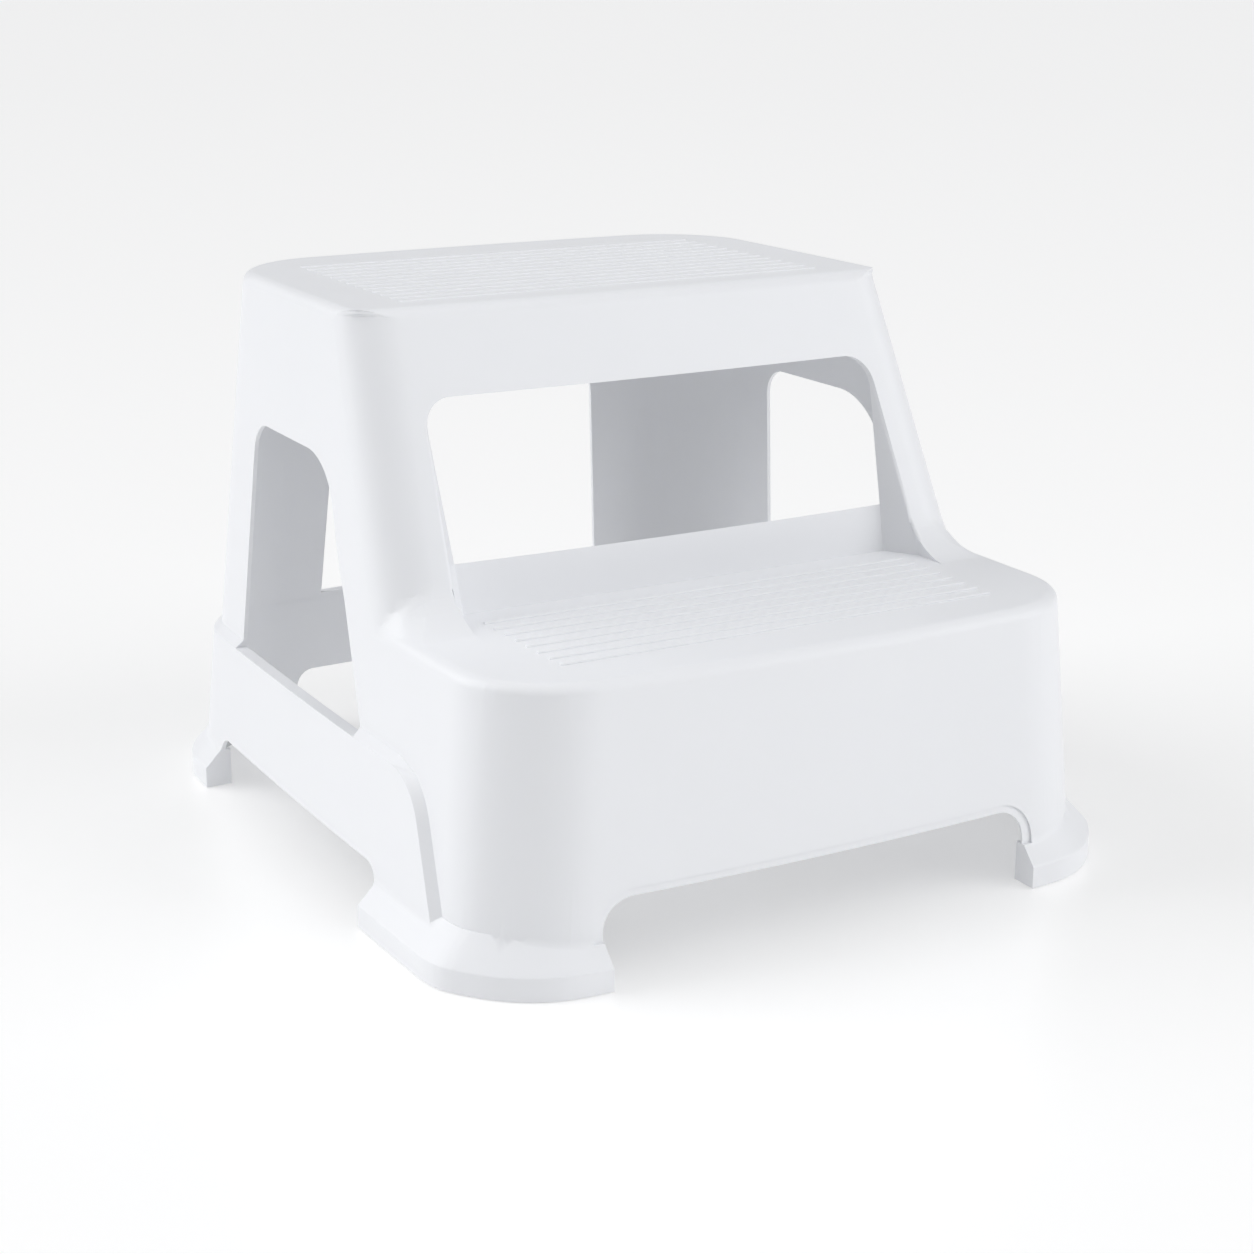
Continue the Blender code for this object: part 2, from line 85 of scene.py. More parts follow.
# How far the walls bow outwards at their middles, and what shifts the footprint to Y = 0.
SIDE_BOW = 0.0061
SIDE_BOW_REACH = 0.279
SIDE_BOW_CENTRE_Y = -0.058
STEP_BOW = 0.0068
FACE_BOW = 0.0048
BACK_BOW = 0.0054
BOW_REACH = 0.1857
CENTRE_SHIFT = -0.0014

# Between which Y each bow sets in, so that the treads' ribs stay straight.
STEP_BOW_BLEND = (-0.258, -0.226)
FACE_BOW_BLEND = (-0.024, -0.001)
BACK_BOW_BLEND = (0.190, 0.235)
FACE_BOW_RISE = 0.03

# Apron round the sides and back.
APRON_PROUD = 0.006
APRON_TOP_Z = 0.1157
APRON_SLOPE_RUN = 0.0062
APRON_FRONT_Y = -0.1623
APRON_FRONT_LEAN = 0.45
APRON_FRONT_R = 0.046
APRON_ARC_STEPS = 14
APRON_ARC_START = 24.2
APRON_SINK = 0.001
APRON_END_OVERLAP = 0.0005
APRON_TOP_SINK = 0.0008

# Foot flange.
FLANGE_PROUD = 0.0106
BAND_Z = 0.0168
FLARE_RUN = 0.019

# The small rounding where the band meets its slope: distance below the band's top, and inwards.
BAND_ROUNDING = ((0.0016, 0.0), (0.0008, 0.00022), (0.0, 0.0009), (-0.0009, 0.0018))

# Rounding of the crease between the flange and the walls, and the heights it lies between.
CREASE_R = 0.0030
CREASE_Z = (0.018, 0.034)

# Front window and its returns.
WINDOW_TOP_Z = 0.3337
WINDOW_TOP_HALF = 0.1750
WINDOW_BOTTOM_HALF = 0.1815
WINDOW_R = 0.020
TREAD_REAR_Y = -0.0938
RETURN_TAPER = 0.62
RIDGE_R = 0.0025
RIDGE_START = 0.012
RIDGE_END = 0.024
WINDOW_ARC_STEPS = 10
WINDOW_ARC_LAST = 86
POCKET_FRONT_Y = -0.165
POCKET_OVERRUN = 0.0004
POCKET_OVERLAP = 0.0006
LEAST_DEPTH = 0.0001
SHELF_RELIEF = 0.0002

# Side and rear windows.
SIDE_WINDOW_TOP_Z = 0.2884
SIDE_WINDOW_FRONT_Y = -0.0739
SIDE_WINDOW_BACK_Y = 0.1508
SIDE_WINDOW_BACK_LEAN = 0.067
SIDE_WINDOW_FRONT_R = 0.054
SIDE_WINDOW_BACK_R = 0.023
REAR_WINDOW_HALF = 0.1272
REAR_WINDOW_LEAN = 0.079
REAR_WINDOW_R = 0.030

# Arches between the feet, and the shallow recess round them.
FRONT_ARCH_Z = 0.0553
FRONT_ARCH_HALF = 0.1640
FRONT_ARCH_R = 0.022
SIDE_ARCH_Z = 0.0405
SIDE_ARCH_FRONT_Y = -0.1195
SIDE_ARCH_BACK_Y = 0.1750
SIDE_ARCH_R = 0.016
REAR_ARCH_Z = 0.0490
REAR_ARCH_HALF = 0.1460
REAR_ARCH_R = 0.014
FOOT_WEB_DEPTH = 0.020
RIM_WIDE = 0.0075
RIM_DEEP = 0.0014
RIM_DROP = 0.002

# How far out cutters reach, and where those that must miss the far wall stop.
CUT_REACH = 0.35
SIDE_CUT_REACH = 0.3
ARCH_CUT_STOP = 0.2
REAR_CUT_START = 0.15
OUTLINE_STEPS = 14

# Grip ribs.
GRIP_HALF = 0.1650
GRIP_WIDTH = 0.0030
GRIP_SINK = 0.0012
GRIP_ROUNDING = 0.0008
LOWER_GRIP_FIRST_Y = -0.1193
LOWER_GRIP_PITCH = 0.0146
LOWER_GRIPS = 8
UPPER_GRIP_FIRST_Y = 0.0023
UPPER_GRIP_PITCH = 0.0150
UPPER_GRIPS = 13

# Stiffening webs under the treads.
WEB_THICK = 0.0022
WEB_DEEP = 0.014
WEB_PITCH = 0.048
WEB_CLEAR = 0.012
UPPER_WEB_REACH = 0.200
LOWER_WEB_REACH = 0.218

# Foot pads.
PAD_FIT = 0.0003
PAD_WIDE = 0.0125
PAD_TALL = 0.0105
PAD_ROUNDING = 0.0008
PAST_PAD = 0.4

FEET = [(side, end) for end in ("front", "rear") for side in ("left", "right")]


# ---------------------------------------------------------------- properties


class StoolSizes(bpy.types.PropertyGroup):
    """Sizes of the moulding that a user may want to change."""

    wall: FloatProperty(
        name="Wall thickness",
        description="Thickness of the moulded wall",
        default=0.003,
        unit="LENGTH",
    )
    edge: FloatProperty(
        name="Edge rounding",
        description="Rounding of the thin edges round the windows, arches and feet",
        default=0.0009,
        unit="LENGTH",
    )
    grip_height: FloatProperty(
        name="Upper rib height",
        description="How far the grip ribs stand above the upper tread",
        default=0.0008,
        unit="LENGTH",
    )
    lower_grip_height: FloatProperty(
        name="Lower rib height",
        description="How far the grip ribs stand above the lower tread",
        default=0.0014,
        unit="LENGTH",
    )
    corner_steps: IntProperty(
        name="Corner steps",
        description="Facets along each rounded corner",
        default=16,
        min=4,
        max=32,
    )


class StoolLooks(bpy.types.PropertyGroup):
    """Colours and finish of the stool and its stage."""

    plastic: FloatVectorProperty(
        name="Plastic",
        description="Colour of the moulded plastic",
        subtype="COLOR",
        size=3,
        default=(0.84, 0.85, 0.875),
    )
    rubber: FloatVectorProperty(
        name="Pad rubber",
        description="Colour of the foot pads",
        subtype="COLOR",
        size=3,
        default=(0.60, 0.61, 0.62),
    )
    floor: FloatVectorProperty(
        name="Floor",
        description="Colour of the studio floor",
        subtype="COLOR",
        size=3,
        default=(0.72, 0.72, 0.72),
    )
    roughness: FloatProperty(
        name="Roughness",
        description="Roughness of the moulded plastic",
        default=0.42,
        min=0.0,
        max=1.0,
        subtype="FACTOR",
    )


def sizes():
    return bpy.context.scene.stool_sizes


def looks():
    return bpy.context.scene.stool_looks


# ---------------------------------------------------------------- wall planes


def side_x(z):
    return SIDE_AT_FLOOR - SIDE_DRAFT * z


def front_y(z):
    return -(FRONT_AT_FLOOR - FRONT_DRAFT * z)


def back_y(z):
    return BACK_AT_FLOOR - BACK_DRAFT * z


def face_y(z):
    return FACE_Y_AT_TREAD + FACE_SLOPE * (z - TREAD_Z)


def near(a, b, within=1e-5):
    return abs(a - b) < within


def smooth(low, high, value):
    """0 below low, 1 above high, and an easy curve between them."""
    t = min(max((value - low) / (high - low), 0.0), 1.0)
    return t * t * (3 - 2 * t)


# ---------------------------------------------------------------- mesh helpers


def deselect():
    for thing in list(bpy.context.selected_objects):
        thing.select_set(False)


def select_only(thing):
    deselect()
    thing.select_set(True)
    bpy.context.view_layer.objects.active = thing


def apply_all(thing):
    select_only(thing)
    for modifier in list(thing.modifiers):
        bpy.ops.object.modifier_apply(modifier=modifier.name)


def edit_mesh(thing, change):
    """Runs change on the object's mesh and writes it back."""
    body = bmesh.new()
    body.from_mesh(thing.data)
    change(body)
    body.to_mesh(thing.data)
    body.free()


def object_from(name, body):
    """A linked object from a bmesh, which is freed."""
    bmesh.ops.recalc_face_normals(body, faces=body.faces)
    mesh = bpy.data.meshes.new(name)
    body.to_mesh(mesh)
    body.free()
    made = bpy.data.objects.new(name, mesh)
    bpy.context.scene.collection.objects.link(made)
    return made


def stack_rings(rings):
    """A closed bmesh through rings of points, each ring in the same order."""
    body = bmesh.new()
    loops = [[body.verts.new(point) for point in ring] for ring in rings]
    count = len(loops[0])
    for lower, upper in zip(loops, loops[1:]):
        for i in range(count):
            j = (i + 1) % count
            body.faces.new((lower[i], lower[j], upper[j], upper[i]))
    body.faces.new(loops[0][::-1])
    body.faces.new(loops[-1])
    return body


def rounded(outline, radii, steps):
    """A flat outline with an arc of the given radius at each corner, or none for 0."""
    points = []
    count = len(outline)
    for i, (corner, radius) in enumerate(zip(outline, radii)):
        here = Vector(corner)
        if not radius:
            points.append(here)
            continue
        back = (Vector(outline[i - 1]) - here).normalized()
        ahead = (Vector(outline[(i + 1) % count]) - here).normalized()
        half = 0.5 * back.angle(ahead)
        centre = here + (back + ahead).normalized() * radius / math.sin(half)
        first = here + back * radius / math.tan(half) - centre
        last = here + ahead * radius / math.tan(half) - centre
        turn = first.angle_signed(last)
        for step in range(steps + 1):
            angle = -turn * step / steps
            cos, sin = math.cos(angle), math.sin(angle)
            arm = Vector((first.x * cos - first.y * sin, first.x * sin + first.y * cos))
            points.append(centre + arm)
    return points


def add_box(name, low, high):
    """A box from the cube primitive, at its size and place."""
    deselect()
    centre = [(a + b) / 2 for a, b in zip(low, high)]
    bpy.ops.mesh.primitive_cube_add(size=1.0, location=centre)
    made = bpy.context.active_object
    made.name = name
    made.scale = [b - a for a, b in zip(low, high)]
    bpy.ops.object.transform_apply(location=True, rotation=True, scale=True)
    return made


def join(name, things):
    """Joins the things into one object of the given name."""
    deselect()
    for thing in things:
        thing.select_set(True)
    bpy.context.view_layer.objects.active = things[0]
    if len(things) > 1:
        bpy.ops.object.join()
    things[0].name = name
    return things[0]


def triangulate(thing):
    edit_mesh(thing, lambda body: bmesh.ops.triangulate(body, faces=body.faces))


def merge_flat(thing):
    """Merges triangles that lie in one plane back into whole faces."""

    def change(body):
        bmesh.ops.remove_doubles(body, verts=body.verts, dist=2e-6)
        bmesh.ops.dissolve_limit(
            body,
            angle_limit=math.radians(0.25),
            use_dissolve_boundaries=False,
            verts=body.verts,
            edges=body.edges,
        )

    edit_mesh(thing, change)


def combine(target, other, operation):
    """Joins or cuts with another object, which is then removed."""
    triangulate(target)
    triangulate(other)
    modifier = target.modifiers.new("combine", "BOOLEAN")
    modifier.operation = operation
    modifier.object = other
    modifier.solver = "EXACT"
    apply_all(target)
    bpy.data.objects.remove(other)
    if not target.data.polygons:
        raise RuntimeError(f"nothing is left of {target.name}")


def round_corner(body, chosen, reach, steps):
    """Bevels the edges for which chosen(a, b) holds of their two ends."""
    edges = [edge for edge in body.edges if chosen(edge.verts[0].co, edge.verts[1].co)]
    bmesh.ops.bevel(
        body,
        geom=edges,
        offset=reach,
        offset_type="OFFSET",
        segments=steps,
        profile=0.5,
        affect="EDGES",
        clamp_overlap=False,
    )


def soften(thing, width, segments, weighted=False):
    """Bevels the weighted edges, or else every edge folded by more than 30 degrees."""
    modifier = thing.modifiers.new("soften", "BEVEL")
    modifier.limit_method = "WEIGHT" if weighted else "ANGLE"
    modifier.angle_limit = math.radians(30)
    modifier.width = width
    modifier.segments = segments
    modifier.offset_type = "OFFSET"
    modifier.use_clamp_overlap = not weighted
    modifier.miter_inner = "MITER_SHARP"
    apply_all(thing)


# ---------------------------------------------------------------- the block


def upright(a, b):
    """Whether an edge with these ends stands up one corner of the block."""
    return a.x * b.x > 0 and abs(abs(a.x) - abs(b.x)) < 0.04 and abs(a.z - b.z) > 0.1


def stepped_block(name, inset, floor):
    """Tower and lower step in one, with its corners and tread edges rounded."""
    top = TOP_Z - inset
    tread = TREAD_Z - inset
    foot = face_y(TREAD_Z) + inset
    profile = [
        (front_y(floor) + inset, floor),
        (front_y(tread) + inset, tread),
        (foot, tread),
        (face_y(top) + inset, top),
        (back_y(top) - inset, top),
        (back_y(floor) - inset, floor),
    ]
    rings = [[(s * (side_x(z) - inset), y, z) for y, z in profile] for s in (-1, 1)]
    body = stack_rings(rings)
    steps = sizes().corner_steps
    front, back = front_y(0) + 0.03, back_y(TOP_Z) - 0.01
    round_corner(
        body,
        lambda a, b: upright(a, b) and max(a.y, b.y) < front,
        STEP_CORNER_R - inset,
        steps,
    )
    round_corner(
        body,
        lambda a, b: upright(a, b) and min(a.y, b.y) > back,
        BACK_CORNER_R - inset,
        steps,
    )
    weights = body.edges.layers.float.new("bevel_weight_edge")
    for edge in body.edges:
        a, b = (vert.co for vert in edge.verts)
        high, low = max(a.z, b.z), min(a.z, b.z)
        radius = 0.0
        if near(low, top):
            radius = EDGE_R - inset
        elif near(low, tread) and near(high, tread):
            across = near(a.y, foot) and near(b.y, foot)
            radius = COVE_R if across else EDGE_R - inset
        elif near(low, tread) and near(high, top) and a.x * b.x > 0:
            radius = TOWER_CORNER_R - inset
        edge[weights] = radius / MOST_BEVEL
    made = object_from(name, body)
    soften(made, MOST_BEVEL, EDGE_STEPS, weighted=True)
    return made


def apron_front(z, grown):
    """Where the apron's rounded, leaning front end lies at height z, its outline grown."""
    length = math.hypot(1.0, APRON_FRONT_LEAN)
    radius = APRON_FRONT_R + grown
    centre_z = APRON_TOP_Z - APRON_FRONT_R
    centre_y = APRON_FRONT_Y + APRON_FRONT_R * (length - APRON_FRONT_LEAN)
    tangent_z = centre_z + radius * APRON_FRONT_LEAN / length
    if z < tangent_z:
        return centre_y - radius / length + APRON_FRONT_LEAN * (z - tangent_z)
    return centre_y - math.sqrt(max(radius**2 - (z - centre_z) ** 2, 0.0))


def apron_ring(z, proud, sunk, front, inner_front):
    """The apron's outline at height z, its front ends slanting inwards to the walls."""
    outer = side_x(z) + proud
    inner = side_x(z) - sunk
    rear = back_y(z) + proud
    radius = BACK_CORNER_R + proud
    outline = [
        (-outer, front),
        (-inner, inner_front),
        (inner, inner_front),
        (outer, front),
        (outer, rear),
        (-outer, rear),
    ]
    radii = (0, 0, 0, 0, radius, radius)
    return [(x, y, z) for x, y in rounded(outline, radii, sizes().corner_steps + 2)]


def apron_block(name, inset, floor):
    """The apron's form. Outside, its sloped top and front ends die into the legs."""
    proud = APRON_PROUD - inset
    sunk = inset + APRON_SINK
    run = 0.0 if inset else APRON_SLOPE_RUN
    top = APRON_TOP_Z - inset
    centre_z = APRON_TOP_Z - APRON_FRONT_R
    heights = [floor]
    for i in range(APRON_ARC_STEPS):
        share = i / APRON_ARC_STEPS
        turn = math.radians(APRON_ARC_START + (90 - APRON_ARC_START) * share)
        heights.append(centre_z + (top - centre_z) * math.sin(turn))
    heights.append(top)
    rings = []
    for z in heights:
        ends = apron_front(z, -inset), apron_front(z, run - inset) - APRON_END_OVERLAP
        rings.append(apron_ring(z, proud, sunk, *ends))
    if run:
        front = apron_front(top + run, run)
        inner = front - APRON_SINK
        rings.append(apron_ring(top + run, -APRON_TOP_SINK, sunk, front, inner))
    return object_from(name, stack_rings(rings))


def flange_ring(z, beyond):
    """The flange's outline at height z, beyond the feet's walls by the given distance."""
    x = side_x(0) + APRON_PROUD + beyond
    front = front_y(0) - beyond
    rear = back_y(0) + APRON_PROUD + beyond
    outline = [(-x, front), (x, front), (x, rear), (-x, rear)]
    fore, aft = STEP_CORNER_R + beyond, BACK_CORNER_R + APRON_PROUD + beyond
    steps = sizes().corner_steps + 5
    return [(u, v, z) for u, v in rounded(outline, (fore, fore, aft, aft), steps)]


def flange_block(name, inset, floor):
    """The foot flange all the way round: a vertical band with a 45 degree slope on top."""
    beyond = FLANGE_PROUD - inset
    high = BAND_Z - 0.4 * inset
    rounding = ((0.0, 0.0),) if inset else BAND_ROUNDING
    rings = [flange_ring(floor, beyond)]
    for drop, back in rounding:
        rings.append(flange_ring(high - drop, beyond - back))
    rings.append(flange_ring(high + FLARE_RUN, beyond - FLARE_RUN))
    return object_from(name, stack_rings(rings))


def window_half(z, grown):
    """Half the front window's width at height z, following its rounded top corners."""
    rise = WINDOW_TOP_Z - TREAD_Z
    share = (z - TREAD_Z) / rise
    half = WINDOW_BOTTOM_HALF + (WINDOW_TOP_HALF - WINDOW_BOTTOM_HALF) * share
    above = z - (WINDOW_TOP_Z - WINDOW_R)
    if above > 0:
        half -= WINDOW_R - math.sqrt(max(WINDOW_R**2 - above**2, 0.0))
    return half + grown


def shut_off_y(z):
    """The plane in which the front window ends, from the tread's rear edge to the header."""
    share = (z - TREAD_Z) / (WINDOW_TOP_Z - TREAD_Z)
    return TREAD_REAR_Y + (face_y(WINDOW_TOP_Z) - TREAD_REAR_Y) * share


def window_heights():
    """The tread's height, then those of the steps up the window's rounded corners."""
    turns = [90 * i / WINDOW_ARC_STEPS for i in range(WINDOW_ARC_STEPS)] + [WINDOW_ARC_LAST]
    base = WINDOW_TOP_Z - WINDOW_R
    return [TREAD_Z] + [base + WINDOW_R * math.sin(math.radians(turn)) for turn in turns]


def window_pocket(name, grown):
    """The wedge in front of the shut-off plane, between the two returns.

    Grown, it keeps a wall's thickness of material round the same wedge.
    """
    rings = []
    for z in window_heights():
        half = window_half(z, grown)
        front, rear = face_y(z), shut_off_y(z) + POCKET_OVERRUN
        if grown:
            rear -= POCKET_OVERLAP
        else:
            rear = max(rear, front + sizes().wall + POCKET_OVERLAP)
        rear = max(rear, front + LEAST_DEPTH)
        rear_half = half - RETURN_TAPER * (rear - front)
        height = z - grown + SHELF_RELIEF if grown and near(z, TREAD_Z) else z
        outline = [
            (-half, POCKET_FRONT_Y),
            (half, POCKET_FRONT_Y),
            (half, front),
            (rear_half, rear),
            (-rear_half, rear),
            (-half, front),
        ]
        rings.append([(x, y, height) for x, y in outline])
    return object_from(name, stack_rings(rings))


def hull(name, inset, floor):
    """The whole outer form, or the form of its hollow where inset is the wall's thickness."""
    made = stepped_block(name, inset, BLOCK_FLOOR_Z)
    combine(made, apron_block(name + "_apron", inset, APRON_FLOOR_Z), "UNION")
    combine(made, flange_block(name + "_flange", inset, floor), "UNION")
    combine(made, window_pocket(name + "_pocket", inset), "DIFFERENCE")
    merge_flat(made)
    return made


def mark_ridges(thing):
    """Gives the window's ridges and the creases above the feet their roundings."""

    def change(body):
        weights = body.edges.layers.float.get("bevel_weight_edge")
        if weights is None:
            weights = body.edges.layers.float.new("bevel_weight_edge")
        for edge in body.edges:
            edge[weights] = 0.0
            if len(edge.link_faces) != 2 or edge.calc_face_angle(0.0) < 0.15:
                continue
            a, b = (vert.co for vert in edge.verts)
            middle = (a + b) / 2
            on_side = near(abs(middle.x), window_half(middle.z, 0.0), 0.0015)
            in_front = middle.y < face_y(middle.z) + 0.002
            beside = TREAD_Z + RIDGE_START < middle.z < WINDOW_TOP_Z - RIDGE_END
            if on_side and in_front and beside and edge.is_convex:
                edge[weights] = RIDGE_R / MOST_BEVEL
            elif CREASE_Z[0] < middle.z < CREASE_Z[1] and not edge.is_convex:
                edge[weights] = CREASE_R / MOST_BEVEL

    edit_mesh(thing, change)


# ---------------------------------------------------------------- cutters


def prism(name, outline, radii, axis, start, end):
    """A flat rounded outline swept along X or Y. The ends may lean: depth = at + lean * z."""

    def place(point, end_plane):
        at, lean = end_plane
        depth = at + lean * point.y
        return (depth, point.x, point.y) if axis == "x" else (point.x, depth, point.y)

    points = rounded(outline, radii, OUTLINE_STEPS)
    rings = [[place(point, plane) for point in points] for plane in (start, end)]
    return object_from(name, stack_rings(rings))


def side_windows():
    rise = SIDE_WINDOW_TOP_Z - APRON_TOP_Z
    outline = [
        (SIDE_WINDOW_FRONT_Y, APRON_TOP_Z),
        (SIDE_WINDOW_BACK_Y, APRON_TOP_Z),
        (SIDE_WINDOW_BACK_Y - SIDE_WINDOW_BACK_LEAN * rise, SIDE_WINDOW_TOP_Z),
        (SIDE_WINDOW_FRONT_Y + APRON_FRONT_LEAN * rise, SIDE_WINDOW_TOP_Z),
    ]
    radii = (0, 0, SIDE_WINDOW_BACK_R, SIDE_WINDOW_FRONT_R)
    ends = (-SIDE_CUT_REACH, 0), (SIDE_CUT_REACH, 0)
    return prism("side_windows", outline, radii, "x", *ends)


def rear_window():
    top = REAR_WINDOW_HALF - REAR_WINDOW_LEAN * (SIDE_WINDOW_TOP_Z - APRON_TOP_Z)
    outline = [
        (-REAR_WINDOW_HALF, APRON_TOP_Z),
        (REAR_WINDOW_HALF, APRON_TOP_Z),
        (top, SIDE_WINDOW_TOP_Z),
        (-top, SIDE_WINDOW_TOP_Z),
    ]
    radii = (0, 0, REAR_WINDOW_R, REAR_WINDOW_R)
    return prism("rear_window", outline, radii, "y", (REAR_CUT_START, 0), (CUT_REACH, 0))


def arch(name, low, high, top, radius, axis, start, end, floor=CUT_FLOOR_Z):
    """A round-cornered cutter that is open below."""
    outline = [(low, floor), (high, floor), (high, top), (low, top)]
    return prism(name, outline, (0, 0, radius, radius), axis, start, end)


def arches():
    front, rear = FRONT_ARCH_HALF, REAR_ARCH_HALF
    fore, aft = SIDE_ARCH_FRONT_Y, SIDE_ARCH_BACK_Y
    low_ends = (-CUT_REACH, 0), (-ARCH_CUT_STOP, 0)
    high_ends = (ARCH_CUT_STOP, 0), (CUT_REACH, 0)
    return [
        arch("front_arch", -front, front, FRONT_ARCH_Z, FRONT_ARCH_R, "y", *low_ends),
        arch("rear_arch", -rear, rear, REAR_ARCH_Z, REAR_ARCH_R, "y", *high_ends),
        arch("left_arch", fore, aft, SIDE_ARCH_Z, SIDE_ARCH_R, "x", *low_ends),
        arch("right_arch", fore, aft, SIDE_ARCH_Z, SIDE_ARCH_R, "x", *high_ends),
    ]


def arch_rims():
    """Cutters for the shallow recess round the front and rear arches, above the feet."""
    floor = BAND_Z + FLANGE_PROUD + 0.001
    rise = RIM_WIDE - RIM_DROP
    front_plane = (front_y(0) + RIM_DEEP, FRONT_DRAFT)
    rear_plane = (back_y(0) + APRON_PROUD - RIM_DEEP, -BACK_DRAFT)
    made = []
    for name, half, top, radius, ends in (
        ("front_rim", FRONT_ARCH_HALF, FRONT_ARCH_Z, FRONT_ARCH_R, ((-CUT_REACH, 0), front_plane)),
        ("rear_rim", REAR_ARCH_HALF, REAR_ARCH_Z, REAR_ARCH_R, (rear_plane, (CUT_REACH, 0))),
    ):
        wide = half + RIM_WIDE
        made.append(arch(name, -wide, wide, top + rise, radius + RIM_WIDE, "y", *ends, floor))
    return made


def foot_webs(wall):
    """Blocks kept solid at both ends of each foot, so that its channel is closed."""
    flange_x = side_x(0) + APRON_PROUD + FLANGE_PROUD
    flange_front = -front_y(0) + FLANGE_PROUD
    flange_rear = back_y(0) + APRON_PROUD + FLANGE_PROUD
    top = BAND_Z + 0.012
    past = 0.002
    boxes = []
    for side in (-1, 1):
        for half, rear in ((FRONT_ARCH_HALF, -flange_front), (REAR_ARCH_HALF, flange_rear)):
            xs = sorted((side * (half - past), side * (half + wall)))
            ys = sorted((rear * 1.1, rear - math.copysign(FOOT_WEB_DEPTH, rear)))
            boxes.append(((xs[0], ys[0], CUT_FLOOR_Z), (xs[1], ys[1], top)))
        xs = sorted((side * (flange_x + 0.02), side * (flange_x - FOOT_WEB_DEPTH)))
        for at, sign in ((SIDE_ARCH_FRONT_Y, -1), (SIDE_ARCH_BACK_Y, 1)):
            ys = sorted((at - sign * past, at + sign * wall))
            boxes.append(((xs[0], ys[0], CUT_FLOOR_Z), (xs[1], ys[1], top)))
    return join("foot_webs", [add_box("foot_web", low, high) for low, high in boxes])


def tread_webs(wall):
    """Stiffening webs under each tread, as two crossing sets of plates."""
    half = 0.5 * WEB_THICK
    along, across = [], []
    upper_ends = face_y(TOP_Z) + WEB_CLEAR, back_y(TOP_Z) - WEB_CLEAR
    lower_ends = front_y(TREAD_Z) + WEB_CLEAR, TREAD_REAR_Y - 0.5 * WEB_CLEAR
    spans = (
        (TOP_Z, UPPER_WEB_REACH, *upper_ends),
        (TREAD_Z, LOWER_WEB_REACH, *lower_ends),
    )
    for z, reach, fore, aft in spans:
        low, high = z - wall - WEB_DEEP, z - 0.6 * wall
        for i in range(-3, 4):
            x = i * WEB_PITCH
            along.append(((x - half, fore, low), (x + half, aft, high)))
        count = int((aft - fore) / WEB_PITCH)
        for i in range(1, count + 1):
            y = fore + (aft - fore) * i / (count + 1)
            across.append(((-reach, y - half, low), (reach, y + half, high)))
    return [
        join(name, [add_box("web", low, high) for low, high in boxes])
        for name, boxes in (("webs_along", along), ("webs_across", across))
    ]


def grip_ribs():
    """Raised lines on both treads, each a box with a rounded top."""
    rows = [(LOWER_GRIP_FIRST_Y - LOWER_GRIP_PITCH * i, TREAD_Z) for i in range(LOWER_GRIPS)]
    rows += [(UPPER_GRIP_FIRST_Y + UPPER_GRIP_PITCH * i, TOP_Z) for i in range(UPPER_GRIPS)]
    half = 0.5 * GRIP_WIDTH
    ribs = []
    for y, z in rows:
        height = sizes().lower_grip_height if z < TOP_Z else sizes().grip_height
        low, high = (-GRIP_HALF, y - half, z - GRIP_SINK), (GRIP_HALF, y + half, z + height)
        rib = add_box("grip_rib", low, high)

        def round_top(body, top=high[2]):
            bmesh.ops.bevel(
                body,
                geom=[e for e in body.edges if all(near(v.co.z, top) for v in e.verts)],
                offset=GRIP_ROUNDING,
                segments=3,
                profile=0.5,
                affect="EDGES",
            )

        edit_mesh(rib, round_top)
        ribs.append(rib)
    return join("grip_ribs", ribs)


# ---------------------------------------------------------------- the bow


def bowed(point):
    """Where a point of the straight build goes once the walls bow outwards."""
    x, y, z = point
    side_share = 1 - ((y - SIDE_BOW_CENTRE_Y) / SIDE_BOW_REACH) ** 2
    front_share = 1 - (x / BOW_REACH) ** 2
    shift = BACK_BOW * smooth(*BACK_BOW_BLEND, y) - STEP_BOW * (1 - smooth(*STEP_BOW_BLEND, y))
    if z > TREAD_Z + 0.0005 and y > -0.2:
        rise = smooth(TREAD_Z, TREAD_Z + FACE_BOW_RISE, z)
        shift -= FACE_BOW * rise * (1 - smooth(*FACE_BOW_BLEND, y))
    new_x = x + SIDE_BOW * side_share * x / SIDE_AT_FLOOR
    return Vector((new_x, y + shift * front_share + CENTRE_SHIFT, z))


def bow_walls(thing):
    """Splits the long faces and bows the mesh outwards."""

    def change(body):
        ys = [-0.258, -0.25, -0.242, -0.234, -0.226, -0.16, -0.11, -0.06, -0.024]
        ys += [-0.018, -0.012, -0.006, -0.001, 0.05, 0.1, 0.15, 0.19, 0.2, 0.21, 0.22, 0.235]
        xs = [0.02 * i for i in range(-9, 10)]
        zs = [TREAD_Z + 0.0006, TREAD_Z + 0.01, TREAD_Z + 0.02, TREAD_Z + 0.03]
        planes = [((0, 1, 0), y) for y in ys] + [((1, 0, 0), x) for x in xs]
        planes += [((0, 0, 1), z) for z in zs]
        for axis, at in planes:
            bmesh.ops.bisect_plane(
                body,
                geom=body.verts[:] + body.edges[:] + body.faces[:],
                plane_co=[at * part for part in axis],
                plane_no=axis,
                dist=1e-6,
            )
        for vert in body.verts:
            vert.co = bowed(vert.co)

    edit_mesh(thing, change)


# ---------------------------------------------------------------- materials


def new_material(name, colour, roughness):
    material = bpy.data.materials.new(name)
    material.use_nodes = True
    shader = material.node_tree.nodes["Principled BSDF"]
    shader.inputs["Base Color"].default_value = (*colour, 1.0)
    shader.inputs["Roughness"].default_value = roughness
    return material, material.node_tree, shader


